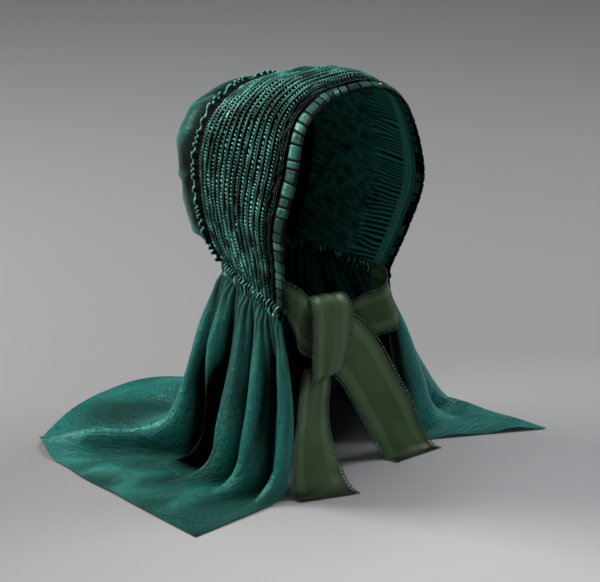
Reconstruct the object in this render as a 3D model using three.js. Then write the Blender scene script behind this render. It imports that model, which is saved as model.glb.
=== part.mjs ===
// A drawn silk poke bonnet: a ribbed hood, a puffed crown, a long neck cape and two ribbon ties.
// Millimetres, +Z up. The wearer faces -Y, and the wearer's left is +X.
// The origin is where the top of the head meets the lining. The cape lies on a table below it.
import * as THREE from "three";

// Walls of cloth, and the clearance between two pieces that are sewn together
const HOOD_WALL = 2.2;
const LINING_WALL = 1;
const LINING_GAP = 0.6;
const CROWN_WALL = 1.6;
const FRILL_WALL = 1;
const CAPE_WALL = 1.2;
const TIE_WALL = 1.2;
const SEAM_GAP = 0.4;

// Height of the table under the head seat
const TABLE_Z = -417;

// Hoops of the hood, from the jaw corner up to the top: half width, place from front to back, height
const FRONT_HOOP = [
  { half: 78, y: -38, z: -213 },
  { half: 90, y: -51, z: -168 },
  { half: 99.5, y: -61, z: -121 },
  { half: 88, y: -66, z: -74 },
  { half: 70, y: -60, z: -27 },
  { half: 38, y: -55, z: -8 },
  { half: 0, y: -40, z: -10 },
];
const MIDDLE_HOOP = [
  { half: 66, y: 19, z: -208 },
  { half: 82, y: 12, z: -170 },
  { half: 95, y: 8, z: -121 },
  { half: 90, y: 6, z: -72 },
  { half: 72, y: 5, z: -24 },
  { half: 40, y: 4, z: -1.4 },
  { half: 0, y: 3, z: HOOD_WALL + LINING_GAP + LINING_WALL },
];
const BACK_HOOP = [
  { half: 50, y: 75, z: -202 },
  { half: 67, y: 76, z: -172 },
  { half: 79, y: 76, z: -126 },
  { half: 81, y: 76, z: -80 },
  { half: 64, y: 77, z: -45 },
  { half: 33, y: 76, z: -26 },
  { half: 0, y: 74, z: -20 },
];

// The nape joins the two back corners of the hood under the crown
const NAPE = [
  { half: 29, y: 90, z: -203 },
  { half: 0, y: 95, z: -204 },
];

// Ribs: cane casings that run over the hood from corner to corner
const RIB_COUNT = 15;
const RIB_RISE = 2;
const HOOD_COLUMNS = 28;
const LINING_ROWS = 5;

// Front band: the wide puckered casing along the face edge, as a share of the hood's depth
const BAND_DEPTH = 0.1;
const BAND_PUFFS = 40;
const BAND_PINCH = 1.2;
const BAND_PUFF = 2.6;

// Crown: the bag of silk behind the last rib
const CROWN_DEPTH = 80;
const CROWN_POLE_Z = -108;
const CROWN_ROUNDNESS = 2.6;
const CROWN_INSET = 2.6;
const CROWN_GATHERS = 16;
const CROWN_GATHER_RISE = 2.4;
const CROWN_ROWS = 6;

// Frill: the standing heading between the last rib and the crown
const FRILL_WAVES = 26;
const FRILL_WIDTH = 6;
const FRILL_LEAN = 1.5;
const FRILL_SWAY = 2;

// Neck ruching: the drawn casing along the neck
const RUCHING_DROP = 1.5;
const RUCHING_HEIGHT = 13;
const RUCHING_PUCKERS = 36;
const RUCHING_PINCH = 2.4;
const RUCHING_PUFF = 4.2;

// Cape: where the cloth meets the table, where its hem lies and how far its fall bows to the front,
// evenly round the neck from right to left
const CAPE_RUNS = [
  { footX: -84, footY: -50, hemX: -202, hemY: -42, bow: 16 },
  { footX: -92, footY: -12, hemX: -203, hemY: 18, bow: 9 },
  { footX: -94, footY: 28, hemX: -203, hemY: 84, bow: 2 },
  { footX: -92, footY: 72, hemX: -202, hemY: 152, bow: 0 },
  { footX: -76, footY: 114, hemX: -180, hemY: 230, bow: 0 },
  { footX: -20, footY: 138, hemX: -26, hemY: 273, bow: 0 },
  { footX: 50, footY: 130, hemX: 70, hemY: 194, bow: 0 },
  { footX: 102, footY: 90, hemX: 150, hemY: 122, bow: 0 },
  { footX: 142, footY: 42, hemX: 198, hemY: 52, bow: 0 },
  { footX: 168, footY: -12, hemX: 211, hemY: -42, bow: 0 },
  { footX: 98, footY: -50, hemX: 226, hemY: -135, bow: 0 },
];
// Folds of the cape: place round the neck, half spread, how far they stand out at the neck and at the foot,
// and how high they lie on the table at the foot and at the hem
const CAPE_FOLDS = [
  { at: 0.02, spread: 0.04, neck: 3, foot: 6, lift: 4, hem: 0 },
  { at: 0.105, spread: 0.05, neck: 5, foot: 17, lift: 8, hem: 1 },
  { at: 0.195, spread: 0.045, neck: 5, foot: 20, lift: 9, hem: 2 },
  { at: 0.285, spread: 0.045, neck: 5, foot: 16, lift: 8, hem: 1 },
  { at: 0.37, spread: 0.04, neck: 5, foot: 18, lift: 16, hem: 14 },
  { at: 0.45, spread: 0.04, neck: 4, foot: 12, lift: 6, hem: 3 },
  { at: 0.535, spread: 0.045, neck: 4, foot: 12, lift: 6, hem: 2 },
  { at: 0.625, spread: 0.045, neck: 4, foot: 14, lift: 7, hem: 2 },
  { at: 0.715, spread: 0.045, neck: 4, foot: 14, lift: 7, hem: 1 },
  { at: 0.805, spread: 0.045, neck: 4, foot: 14, lift: 7, hem: 2 },
  { at: 0.89, spread: 0.04, neck: 4, foot: 12, lift: 7, hem: 2 },
  { at: 0.96, spread: 0.035, neck: 4, foot: 14, lift: 6, hem: 1 },
];
const CAPE_COLUMNS = 60;
const CAPE_ROWS = 11;
const CAPE_FOOT_ROUND = 40;

// Ties: each ribbon's middle line, the heading and lean in degrees of its width, and that width
const RIGHT_TIE = [
  { x: -71.4, y: -16, z: -200, turn: 180, lean: 72, width: 42 },
  { x: -70, y: -30, z: -208, turn: 180, lean: 76, width: 44 },
  { x: -62, y: -43, z: -222, turn: 0, lean: 85, width: 48 },
  { x: -44, y: -41, z: -243, turn: 0, lean: 68, width: 46 },
  { x: -18, y: -38.5, z: -258, turn: 0, lean: 56, width: 50 },
  { x: 8, y: -40, z: -277, turn: 0, lean: 46, width: 58 },
  { x: 29, y: -43, z: -303, turn: 0, lean: 35, width: 58 },
  { x: 49, y: -48, z: -341, turn: -3, lean: 29, width: 57 },
  { x: 67, y: -57, z: -383, turn: -6, lean: 22, width: 56 },
  { x: 76, y: -64, z: -408, turn: -9, lean: 10, width: 54 },
  { x: 80, y: -71, z: -415, turn: -10, lean: 2, width: 54 },
  { x: 82, y: -79, z: -416, turn: -10, lean: 0, width: 54 },
];
const LEFT_TIE = [
  { x: 67.6, y: -18, z: -236, turn: 0, lean: 88, width: 44 },
  { x: 69.4, y: -33, z: -238, turn: 0, lean: 88, width: 48 },
  { x: 71, y: -46, z: -244, turn: 180, lean: 72, width: 52 },
  { x: 62, y: -50, z: -250, turn: 180, lean: 66, width: 54 },
  { x: 47, y: -39, z: -256, turn: 180, lean: 66, width: 52 },
  { x: 27, y: -30, z: -262, turn: 180, lean: 72, width: 40 },
  { x: 4, y: -28, z: -262, turn: 180, lean: 88, width: 26 },
  { x: -13, y: -27, z: -249, turn: 0, lean: 45, width: 22 },
  { x: -21, y: -28, z: -231, turn: 0, lean: 12, width: 28 },
  { x: -22, y: -34, z: -216, turn: 0, lean: -6, width: 38 },
  { x: -21, y: -43, z: -214, turn: 0, lean: -10, width: 46 },
  { x: -20, y: -50, z: -226, turn: 0, lean: -13, width: 52 },
  { x: -22, y: -53, z: -252, turn: 0, lean: -13, width: 52 },
  { x: -25, y: -53, z: -278, turn: 0, lean: -9, width: 46 },
  { x: -27, y: -51, z: -296, turn: 0, lean: -4, width: 38 },
  { x: -29, y: -47.5, z: -300, turn: 0, lean: 0, width: 36 },
  { x: -30, y: -45.5, z: -292, turn: 0, lean: 0, width: 34 },
  { x: -32, y: -43.5, z: -286, turn: 0, lean: 0, width: 34 },
  { x: -34, y: -42, z: -294, turn: 2, lean: 0, width: 36 },
  { x: -39, y: -44, z: -318, turn: 8, lean: -2, width: 46 },
  { x: -48, y: -50, z: -362, turn: 8, lean: -2, width: 56 },
  { x: -52, y: -60, z: -400, turn: -12, lean: 0, width: 58 },
  { x: -52, y: -69, z: -414, turn: -24, lean: 0, width: 58 },
  { x: -52, y: -79, z: -416, turn: -27, lean: 0, width: 58 },
];
const TIE_STEPS_PER_ROW = 3;
const TIE_ROWS = 2;

// Brass pins: two in the front band, by their place along it from right to left, and one in the ruching
const PIN_HEAD = 1.3;
const PIN_DEPTH = 0.25;
const BAND_PINS = [
  { name: "pin_top", along: 0.5875 },
  { name: "pin_side", along: 0.8375 },
];

// Colours read off the cloth
const silk = new THREE.MeshStandardMaterial({ color: 0x12443f, roughness: 0.45 });
const capeSilk = new THREE.MeshStandardMaterial({ color: 0x1f6b62, roughness: 0.4 });
const liningSilk = new THREE.MeshStandardMaterial({ color: 0x143a36, roughness: 0.55 });
const ribbon = new THREE.MeshStandardMaterial({ color: 0x3c4a38, roughness: 0.5 });
const brass = new THREE.MeshStandardMaterial({ color: 0xc8a24a, roughness: 0.3, metalness: 1 });

const bonnet = new THREE.Group();

function addPiece(name, geometry, material) {
  const mesh = new THREE.Mesh(geometry, material);
  mesh.name = name;
  bonnet.add(mesh);
  return mesh;
}

// A closed wall of cloth between an outer and an inner face, each a function of a column and a row share.
// Seen from outside, columns run to the right and rows run up. A closed wall joins its last column to its
// first, and a wall with a pole draws its last row together in one point.
function wall({ columns, rows, outer, inner, closed = false, pole = false }) {
  const across = closed ? columns : columns + 1;
  const faceSize = across * (rows + 1);
  const positions = [];
  for (const face of [outer, inner])
    for (let row = 0; row <= rows; row++)
      for (let column = 0; column < across; column++)
        positions.push(...face(column / columns, row / rows).toArray());
  const at = (face, column, row) =>
    face * faceSize + row * across + (pole && row === rows ? 0 : column % across);
  const index = [];
  const quad = (a, b, c, d) => {
    if (b !== c) index.push(a, b, c);
    if (c !== d) index.push(a, c, d);
  };
  for (let row = 0; row < rows; row++)
    for (let column = 0; column < columns; column++) {
      const next = column + 1;
      quad(at(0, column, row), at(0, next, row), at(0, next, row + 1), at(0, column, row + 1));
      quad(at(1, next, row), at(1, column, row), at(1, column, row + 1), at(1, next, row + 1));
    }
  for (let column = 0; column < columns; column++) {
    const next = column + 1;
    quad(at(1, column, 0), at(1, next, 0), at(0, next, 0), at(0, column, 0));
    if (!pole) quad(at(0, column, rows), at(0, next, rows), at(1, next, rows), at(1, column, rows));
  }
  for (let row = 0; row < rows && !closed; row++) {
    quad(at(1, 0, row), at(0, 0, row), at(0, 0, row + 1), at(1, 0, row + 1));
    quad(at(0, columns, row), at(1, columns, row), at(1, columns, row + 1), at(0, columns, row + 1));
  }
  const geometry = new THREE.BufferGeometry();
  geometry.setAttribute("position", new THREE.Float32BufferAttribute(positions, 3));
  geometry.setIndex(index);
  geometry.computeVertexNormals();
  return geometry;
}

// Both sides of a table whose rows run from the right corner up to the middle
function bothSides(rows) {
  const right = rows.map((row) => new THREE.Vector3(-row.half, row.y, row.z));
  const left = rows.slice(0, -1).reverse();
  return [...right, ...left.map((row) => new THREE.Vector3(row.half, row.y, row.z))];
}

const smooth = (points, closed = false) => new THREE.CatmullRomCurve3(points, closed, "catmullrom", 0.5);
const hoops = [FRONT_HOOP, MIDDLE_HOOP, BACK_HOOP].map((rows) => smooth(bothSides(rows)));

// The hood's outer skin, before its ribs: along a hoop from right to left, and deep from front to back
function skin(along, deep) {
  const weights = [(1 - 2 * deep) * (1 - deep), 4 * deep * (1 - deep), deep * (2 * deep - 1)];
  const point = new THREE.Vector3();
  hoops.forEach((hoop, i) => point.addScaledVector(hoop.getPoint(along), weights[i]));
  return point;
}

// Outward direction of a surface at a point, from two short steps on it
function outwardOf(surface, u, v) {
  const step = 1e-3;
  const [u0, u1] = [Math.max(0, u - step), Math.min(1, u + step)];
  const [v0, v1] = [Math.max(0, v - step), Math.min(1, v + step)];
  const alongU = surface(u1, v).sub(surface(u0, v));
  const alongV = surface(u, v1).sub(surface(u, v0));
  return alongU.cross(alongV).normalize();
}

const onSkin = (along, deep, rise) =>
  skin(along, deep).addScaledVector(outwardOf(skin, along, deep), rise);

// 0 at a pinch and 1 on the puff between two pinches
const puff = (share, count) => 0.5 - 0.5 * Math.cos(2 * Math.PI * count * share);

// Hood: a wall of shirred silk with a ridge over each cane
const hoodStart = BAND_DEPTH + 0.011;
const hoodDeep = (share) => hoodStart + (1 - hoodStart) * share;
addPiece(
  "hood",
  wall({
    columns: HOOD_COLUMNS,
    rows: 2 * RIB_COUNT,
    outer: (u, v) => onSkin(u, hoodDeep(v), RIB_RISE * puff(v, RIB_COUNT)),
    inner: (u, v) => onSkin(u, hoodDeep(v), -HOOD_WALL),
  }),
  silk,
);

// Lining: a thin wall just inside the hood
const liningTop = HOOD_WALL + LINING_GAP;
addPiece(
  "hood_lining",
  wall({
    columns: HOOD_COLUMNS,
    rows: LINING_ROWS,
    outer: (u, v) => onSkin(u, hoodDeep(v), -liningTop),
    inner: (u, v) => onSkin(u, hoodDeep(v), -liningTop - LINING_WALL),
  }),
  liningSilk,
);

// Front band: puffed both ways from the middle of the wall, pinched at even stitches
const bandMiddle = -HOOD_WALL / 2;
const bandBulge = (u, v) =>
  Math.sin(Math.PI * v) * THREE.MathUtils.lerp(BAND_PINCH, BAND_PUFF, puff(u, BAND_PUFFS)) + 0.6;
addPiece(
  "front_band",
  wall({
    columns: 2 * BAND_PUFFS,
    rows: 2,
    outer: (u, v) => onSkin(u, BAND_DEPTH * v, bandMiddle + bandBulge(u, v)),
    inner: (u, v) => onSkin(u, BAND_DEPTH * v, bandMiddle - bandBulge(u, v)),
  }),
  silk,
);

// Crown: a puffed bag whose rim follows the last hoop and the nape
const napeMiddle = NAPE.map((row) => new THREE.Vector3(row.half, row.y, row.z));
const napeRight = new THREE.Vector3(-NAPE[0].half, NAPE[0].y, NAPE[0].z);
const crownRim = smooth([...bothSides(BACK_HOOP), ...napeMiddle, napeRight], true);
const crownPole = new THREE.Vector3(0, BACK_HOOP[0].y + CROWN_DEPTH, CROWN_POLE_Z);

// The bag's face, shrunk towards its axis by inset, for a share round the rim and a share up to the pole
function crownFace(round, up, inset) {
  const rim = crownRim.getPoint(round);
  const power = 2 / CROWN_ROUNDNESS;
  const reach = Math.cos((up * Math.PI) / 2) ** power;
  const depth = Math.sin((up * Math.PI) / 2) ** power;
  const gather = CROWN_GATHER_RISE * puff(round, CROWN_GATHERS) * (1 - up) * Math.min(1, 6 * up);
  const spoke = new THREE.Vector3(rim.x, 0, rim.z - CROWN_POLE_Z);
  const radius = spoke.length();
  spoke.multiplyScalar((reach * (radius - inset + gather)) / radius);
  const start = rim.y + 2.5 * SEAM_GAP;
  const back = start + (crownPole.y - inset - start) * depth;
  return new THREE.Vector3(spoke.x, back, crownPole.z + spoke.z);
}
addPiece(
  "crown",
  wall({
    columns: 2 * CROWN_GATHERS,
    rows: CROWN_ROWS,
    outer: (u, v) => crownFace(u, v, CROWN_INSET),
    inner: (u, v) => crownFace(u, v, CROWN_INSET + CROWN_WALL),
    closed: true,
    pole: true,
  }),
  silk,
);

// Frill: a narrow strip that stands up off the last rib and sways from side to side
const frillFoot = 0.985;
function frillFace(u, v, side) {
  const foot = onSkin(u, frillFoot, RIB_RISE + SEAM_GAP);
  const outward = outwardOf(skin, u, frillFoot);
  const rise = outward.clone().setY(outward.y + FRILL_LEAN).normalize();
  const edge = skin(Math.min(1, u + 1e-3), frillFoot).sub(skin(Math.max(0, u - 1e-3), frillFoot)).normalize();
  const facing = edge.cross(rise).normalize();
  const sway = FRILL_SWAY * Math.sin(2 * Math.PI * FRILL_WAVES * u) * v;
  return foot.addScaledVector(rise, FRILL_WIDTH * v).addScaledVector(facing, sway + (side * FRILL_WALL) / 2);
}
addPiece(
  "crown_frill",
  wall({
    columns: 4 * FRILL_WAVES,
    rows: 1,
    outer: (u, v) => frillFace(u, v, 1),
    inner: (u, v) => frillFace(u, v, -1),
  }),
  silk,
);

// Neckline: the hood's lower edge on both sides, and the nape between them
const neckSide = (along, depths) => depths.map((deep) => skin(along, deep));
const neckline = smooth([
  ...neckSide(0, [0.02, 0.35, 0.7, 1]),
  napeRight,
  napeMiddle[1],
  napeMiddle[0],
  ...neckSide(1, [1, 0.7, 0.35, 0.02]),
]);

// Level direction out of the neck, square to the neckline
function neckOutward(u) {
  const heading = neckline.getTangentAt(u);
  return new THREE.Vector3(-heading.y, heading.x, 0).normalize();
}

// Neck ruching: a drawn casing below the hood, puffed in and out between its pinches
function ruchingFace(u, v, side) {
  const drop = RUCHING_DROP + RUCHING_HEIGHT * (1 - v);
  const bulge = THREE.MathUtils.lerp(RUCHING_PINCH, RUCHING_PUFF, puff(u, RUCHING_PUCKERS));
  const spread = 0.8 + bulge * Math.sin(Math.PI * v);
  const point = neckline.getPointAt(u).addScaledVector(neckOutward(u), side * spread);
  return point.setZ(point.z - drop);
}
addPiece(
  "neck_ruching",
  wall({
    columns: 2 * RUCHING_PUCKERS,
    rows: 2,
    outer: (u, v) => ruchingFace(1 - u, v, 1),
    inner: (u, v) => ruchingFace(1 - u, v, -1),
  }),
  silk,
);

// Cape: falls from the ruching to the table and runs out over it to the hem
const feet = smooth(CAPE_RUNS.map((run) => new THREE.Vector3(run.footX, run.footY, TABLE_Z)));
const hems = smooth(CAPE_RUNS.map((run) => new THREE.Vector3(run.hemX, run.hemY, TABLE_Z)));
const bows = smooth(CAPE_RUNS.map((run) => new THREE.Vector3(0, -run.bow, 0)));
const capeDrop = RUCHING_DROP + RUCHING_HEIGHT + 2 * SEAM_GAP;

// Sum of the folds at one place round the neck, by the name of a column
function foldSum(round, column) {
  let sum = 0;
  for (const fold of CAPE_FOLDS) {
    const away = Math.min(1, Math.abs(round - fold.at) / fold.spread);
    sum += fold[column] * (0.5 + 0.5 * Math.cos(Math.PI * away));
  }
  return sum;
}

// The cape's under face: round the neck from right to left, and down from the neck to the hem
function capeSheet(round, down) {
  const top = neckline.getPointAt(round);
  const foot = feet.getPoint(round);
  const hem = hems.getPoint(round);
  const outward = hem.clone().sub(top).setZ(0).normalize();
  top.z -= capeDrop;
  top.addScaledVector(outward, foldSum(round, "neck"));
  foot.addScaledVector(outward, foldSum(round, "foot"));
  foot.z += foldSum(round, "lift");
  hem.z += foldSum(round, "hem");
  const fall = top.distanceTo(foot);
  const run = foot.distanceTo(hem);
  const along = down * (fall + run) - fall;
  const corner = Math.min(CAPE_FOOT_ROUND, 0.9 * run, 0.9 * fall);
  const bow = bows.getPoint(round);
  const onFall = (left) =>
    foot.clone().lerp(top, left / fall).addScaledVector(bow, Math.sin((Math.PI * left) / fall));
  const onRun = (gone) => foot.clone().lerp(hem, gone / run);
  if (along <= -corner) return onFall(-along);
  if (along >= corner) return onRun(along);
  const turn = (along + corner) / (2 * corner);
  return new THREE.QuadraticBezierCurve3(onFall(corner), foot, onRun(corner)).getPoint(turn);
}
function capeFace(u, v, wallShare) {
  const sheet = (a, b) => capeSheet(1 - a, 1 - b);
  return sheet(u, v).addScaledVector(outwardOf(sheet, u, v), wallShare * CAPE_WALL);
}
addPiece(
  "cape",
  wall({
    columns: CAPE_COLUMNS,
    rows: CAPE_ROWS,
    outer: (u, v) => capeFace(u, v, 1),
    inner: (u, v) => capeFace(u, v, 0),
  }),
  capeSilk,
);

// Ties: a ribbon swept along its table, its width drawn in where it is bunched in the knot
function tieFace(rows) {
  const middle = smooth(rows.map((row) => new THREE.Vector3(row.x, row.y, row.z)));
  const width = smooth(
    rows.map((row) => {
      const lean = THREE.MathUtils.degToRad(row.lean);
      const turn = THREE.MathUtils.degToRad(row.turn);
      const level = Math.cos(lean);
      const direction = new THREE.Vector3(level * Math.cos(turn), level * Math.sin(turn), Math.sin(lean));
      return direction.multiplyScalar(row.width);
    }),
  );
  const strip = (u, v) => middle.getPoint(u).addScaledVector(width.getPoint(u), v - 0.5);
  return (u, v, side) => strip(u, v).addScaledVector(outwardOf(strip, u, v), (side * TIE_WALL) / 2);
}
for (const [name, rows] of [["right_tie", RIGHT_TIE], ["left_tie", LEFT_TIE]]) {
  const face = tieFace(rows);
  addPiece(
    name,
    wall({
      columns: TIE_STEPS_PER_ROW * (rows.length - 1),
      rows: TIE_ROWS,
      outer: (u, v) => face(u, v, 1),
      inner: (u, v) => face(u, v, -1),
    }),
    ribbon,
  );
}

// Pins: round brass heads, each on a puff of the band or of the ruching
const pinHead = () => new THREE.SphereGeometry(PIN_HEAD, 6, 5);
const pinReach = SEAM_GAP + PIN_HEAD;
for (const pin of BAND_PINS) {
  const face = bandMiddle + 0.6 + 2 * PIN_DEPTH * BAND_PUFF;
  const head = addPiece(pin.name, pinHead(), brass);
  head.position.copy(onSkin(pin.along, BAND_DEPTH * PIN_DEPTH, face + pinReach));
}
const cornerPuff = 0.5 / RUCHING_PUCKERS;
const cornerPin = addPiece("pin_corner", pinHead(), brass);
cornerPin.position.copy(ruchingFace(cornerPuff, 0.5, 1)).addScaledVector(neckOutward(cornerPuff), pinReach);

export default bonnet;
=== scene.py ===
# %% [markdown]
# # A drawn silk poke bonnet
# This lesson dresses a bonnet that is already built as plain solids. The solids give the size and the place
# of every piece: a ribbed hood, its lining, a puckered band along the face edge, a puffed crown with a frill,
# a drawn casing at the neck, a long cape and two ribbon ties. Here each piece is made again as fine cloth.
# Sizes are in millimetres, as a milliner would give them, and are turned to metres when a mesh is made.
# The wearer faces -Y, the wearer's left is +X, and the origin lies under the top of the hood.

import bpy
import numpy as np
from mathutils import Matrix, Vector


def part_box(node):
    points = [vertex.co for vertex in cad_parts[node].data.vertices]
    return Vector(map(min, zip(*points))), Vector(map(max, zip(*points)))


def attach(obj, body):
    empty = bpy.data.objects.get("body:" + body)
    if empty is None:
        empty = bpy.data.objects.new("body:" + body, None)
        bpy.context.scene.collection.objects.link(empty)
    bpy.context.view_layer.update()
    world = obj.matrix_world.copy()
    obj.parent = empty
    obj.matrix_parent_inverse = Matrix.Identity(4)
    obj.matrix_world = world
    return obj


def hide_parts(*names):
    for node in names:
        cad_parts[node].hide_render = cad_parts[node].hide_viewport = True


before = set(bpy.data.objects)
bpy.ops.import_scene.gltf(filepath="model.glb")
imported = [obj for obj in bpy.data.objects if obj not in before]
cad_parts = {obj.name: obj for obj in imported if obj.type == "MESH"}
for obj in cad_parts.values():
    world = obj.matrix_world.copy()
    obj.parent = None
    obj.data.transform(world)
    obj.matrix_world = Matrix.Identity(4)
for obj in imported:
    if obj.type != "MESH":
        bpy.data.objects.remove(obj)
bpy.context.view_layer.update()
MM = 0.001
print("pieces in the frame:", sorted(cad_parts))

# %% [markdown]
# ## The camera
# The bonnet is seen from the wearer's right front, a little from above, through a long lens that keeps the
# near and the far side almost the same size. The camera stands two metres from the middle of the hood and
# looks at a point lower down, so that the cape on the table is in the picture too.

# %% Camera
HOOD_MIDDLE = np.array([0.0, 0.0, -118.4])
CAMERA_AZIMUTH = -45
CAMERA_ELEVATION = 20
CAMERA_DISTANCE = 2000
LOOK_AT = np.array([-31.3, -14.4, -214.2])
LENS_MM = 120
SENSOR_MM = 36

azimuth, elevation = np.radians([CAMERA_AZIMUTH, CAMERA_ELEVATION])
away = np.array(
    [np.sin(azimuth) * np.cos(elevation), -np.cos(azimuth) * np.cos(elevation), np.sin(elevation)]
)
camera_data = bpy.data.cameras.new("camera")
camera_data.lens = LENS_MM
camera_data.sensor_width = SENSOR_MM
camera = bpy.data.objects.new("camera", camera_data)
camera.location = (HOOD_MIDDLE + CAMERA_DISTANCE * away) * MM
view_line = Vector(LOOK_AT * MM) - camera.location
camera.rotation_euler = view_line.to_track_quat("-Z", "Y").to_euler()
bpy.context.collection.objects.link(camera)
bpy.context.scene.camera = camera
print("camera at", [round(c, 3) for c in camera.location])

# %% [markdown]
# ## Colours and shader nodes
# Colours are picked as sRGB hex values, the way a colour card gives them, but shaders work in linear light.
# One function makes that change. A second one adds a shader node, with its settings and its links, so that
# a finish can be read as a list of nodes.

# %% Colour and node helpers
def linear(hex_colour):
    """An sRGB hex colour as linear RGBA."""
    srgb = np.array([int(hex_colour[i : i + 2], 16) for i in (1, 3, 5)]) / 255
    rgb = np.where(srgb <= 0.04045, srgb / 12.92, ((srgb + 0.055) / 1.055) ** 2.4)
    return (*rgb.tolist(), 1.0)


def add(tree, kind, inputs=None, **settings):
    """Add a node, set its properties, and give each input a value or a link from another socket."""
    node = tree.nodes.new(kind)
    for name, value in settings.items():
        setattr(node, name, value)
    for name, value in (inputs or {}).items():
        if isinstance(value, bpy.types.NodeSocket):
            tree.links.new(value, node.inputs[name])
        else:
            node.inputs[name].default_value = value
    return node


def set_stops(ramp, stops):
    """Give a colour ramp its stops, as pairs of a place from 0 to 1 and a hex colour."""
    while len(ramp.elements) < len(stops):
        ramp.elements.new(0.5)
    for element, (place, colour) in zip(ramp.elements, stops):
        element.position = place
        element.color = linear(colour)


def new_finish(name, constants):
    """A material with its shader and output, and the constant values of the shader's inputs."""
    material = bpy.data.materials.new(name)
    material.use_nodes = True
    tree = material.node_tree
    tree.nodes.clear()
    shader = add(tree, "ShaderNodeBsdfPrincipled", constants)
    add(tree, "ShaderNodeOutputMaterial", {"Surface": shader.outputs["BSDF"]})
    return material, tree, shader


# %% [markdown]
# ## The floor
# The bonnet stands on a wide sheet of pale coated paper. A sweep that curves up into a wall is the usual way,
# but a wall would hide the bonnet from behind, so one flat disc reaches as far as the eye does. Coated paper
# is smooth and nearly matt, with a faint soft gloss. Its colour follows the distance from a pool of light, and
# so it grows darker away from the bonnet, as a lit studio floor does.

# %% Floor
TABLE_Z = -417
FLOOR_REACH = 60  # metres
FLOOR_SIDES = 64
FLOOR_GAP = 0.2  # keeps the paper just clear of the cloth
PAPER_STOPS = [
    (0.0, "#bcbbbc"),
    (0.1, "#b5b4b5"),
    (0.24, "#8d8d8e"),
    (0.5, "#979899"),
    (1.0, "#a6a7a8"),
]
FADE_METRES = 3.2
POOL_FRONT = 0.5  # metres
POOL_SIDE = 0.3

facing = np.array([-away[0], -away[1]]) / np.hypot(away[0], away[1])
sideways = np.array([-facing[1], facing[0]])
angles = np.linspace(0, 2 * np.pi, FLOOR_SIDES + 1)[:-1]
ring = [(np.cos(t) * FLOOR_REACH, np.sin(t) * FLOOR_REACH) for t in angles]
floor_points = [(*spot, (TABLE_Z - FLOOR_GAP) * MM) for spot in ring]
floor_mesh = bpy.data.meshes.new("studio_floor")
floor_mesh.from_pydata(floor_points, [], [tuple(range(len(ring)))])
studio_floor = bpy.data.objects.new("studio_floor", floor_mesh)
bpy.context.collection.objects.link(studio_floor)

paper, tree, shader = new_finish("coated_paper", {"Roughness": 0.42, "Specular IOR Level": 0.25})
where = add(tree, "ShaderNodeNewGeometry").outputs["Position"]
pool = -POOL_FRONT * facing - POOL_SIDE * sideways
pool_spot = (*pool, TABLE_Z * MM)
reach = add(tree, "ShaderNodeVectorMath", {0: where, 1: pool_spot}, operation="DISTANCE")
graded = add(tree, "ShaderNodeMapRange", {"Value": reach.outputs["Value"], "From Max": FADE_METRES})
shade = add(tree, "ShaderNodeValToRGB", {"Fac": graded.outputs["Result"]})
set_stops(shade.color_ramp, PAPER_STOPS)
tree.links.new(shade.outputs["Color"], shader.inputs["Base Color"])
floor_mesh.materials.append(paper)
print("floor", 2 * FLOOR_REACH, "m across")

# %% [markdown]
# ## The lights
# Two large soft boxes stand left and right, a little behind the bonnet, and one hangs above, so that ribs and
# folds catch light on their flanks and fall dark on the side that faces the viewer. A weak light from the
# front and a grey sky keep the shadows open.

# %% Lights
AIM_Z = -200
SKY_STRENGTH = 0.1
LIGHTS = [
    # name, side, back, up in mm from the hood's middle, size in mm, watts, colour
    ("soft_box_left", -1500, 250, 1000, 700, 38, "#fffaf4"),
    ("soft_box_right", 1500, 350, 900, 700, 18, "#f4f8ff"),
    ("soft_box_top", -100, 100, 1800, 900, 19, "#ffffff"),
    ("front_fill", -700, -1800, 700, 1200, 5, "#ffffff"),
]
for name, side, back, up, size, watts, colour in LIGHTS:
    lamp = bpy.data.lights.new(name, "AREA")
    lamp.shape = "SQUARE"
    lamp.size = size * MM
    lamp.energy = watts
    lamp.color = linear(colour)[:3]
    holder = bpy.data.objects.new(name, lamp)
    spot = facing * back - sideways * side
    holder.location = Vector((spot[0], spot[1], HOOD_MIDDLE[2] + up)) * MM
    aim = Vector((0, 0, AIM_Z)) * MM - holder.location
    holder.rotation_euler = aim.to_track_quat("-Z", "Y").to_euler()
    holder.visible_camera = False
    bpy.context.collection.objects.link(holder)

sky = bpy.data.worlds.new("grey_sky")
sky.use_nodes = True
sky.node_tree.nodes["Background"].inputs["Color"].default_value = linear("#dfe3e6")
sky.node_tree.nodes["Background"].inputs["Strength"].default_value = SKY_STRENGTH
bpy.context.scene.world = sky
bpy.context.scene.view_settings.view_transform = "Standard"
print("lights:", [row[0] for row in LIGHTS])

# %% [markdown]
# ## Tools for cloth
# Every piece here is a sheet that was gathered, pinched or laid. So every piece starts as a grid of points on
# a smooth surface, is pushed out or in by a height in millimetres, and becomes a mesh. The grid keeps its own
# millimetre coordinates as a UV map, so that threads and slubs are drawn at their real size, and a second
# set of numbers, the painted light, tells the finish how much shade to paint into the gathers and grooves
# and how much light onto the crests.

# %% Curves, drifts and grids
HILLS = 61  # random hills along each side of a drift's table


def spline(rows, at, closed=False):
    """Points on a smooth curve through the rows of a table, at shares from 0 to 1 of the way along them."""
    rows = np.asarray(rows, float)
    if closed:
        knots, spans = np.vstack([rows[-1:], rows, rows[:2]]), len(rows)
    else:
        ends = 2 * rows[0] - rows[1], 2 * rows[-1] - rows[-2]
        knots, spans = np.vstack([ends[0], rows, ends[1]]), len(rows) - 1
    place = np.clip(at, 0, 1) * spans
    i = np.minimum(place.astype(int), spans - 1)
    f = (place - i)[..., None]
    a, b, c, d = (knots[i + k] for k in range(4))
    return b + 0.5 * f * (c - a + f * (2 * a - 5 * b + 4 * c - d + f * (3 * (b - c) + d - a)))


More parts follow.
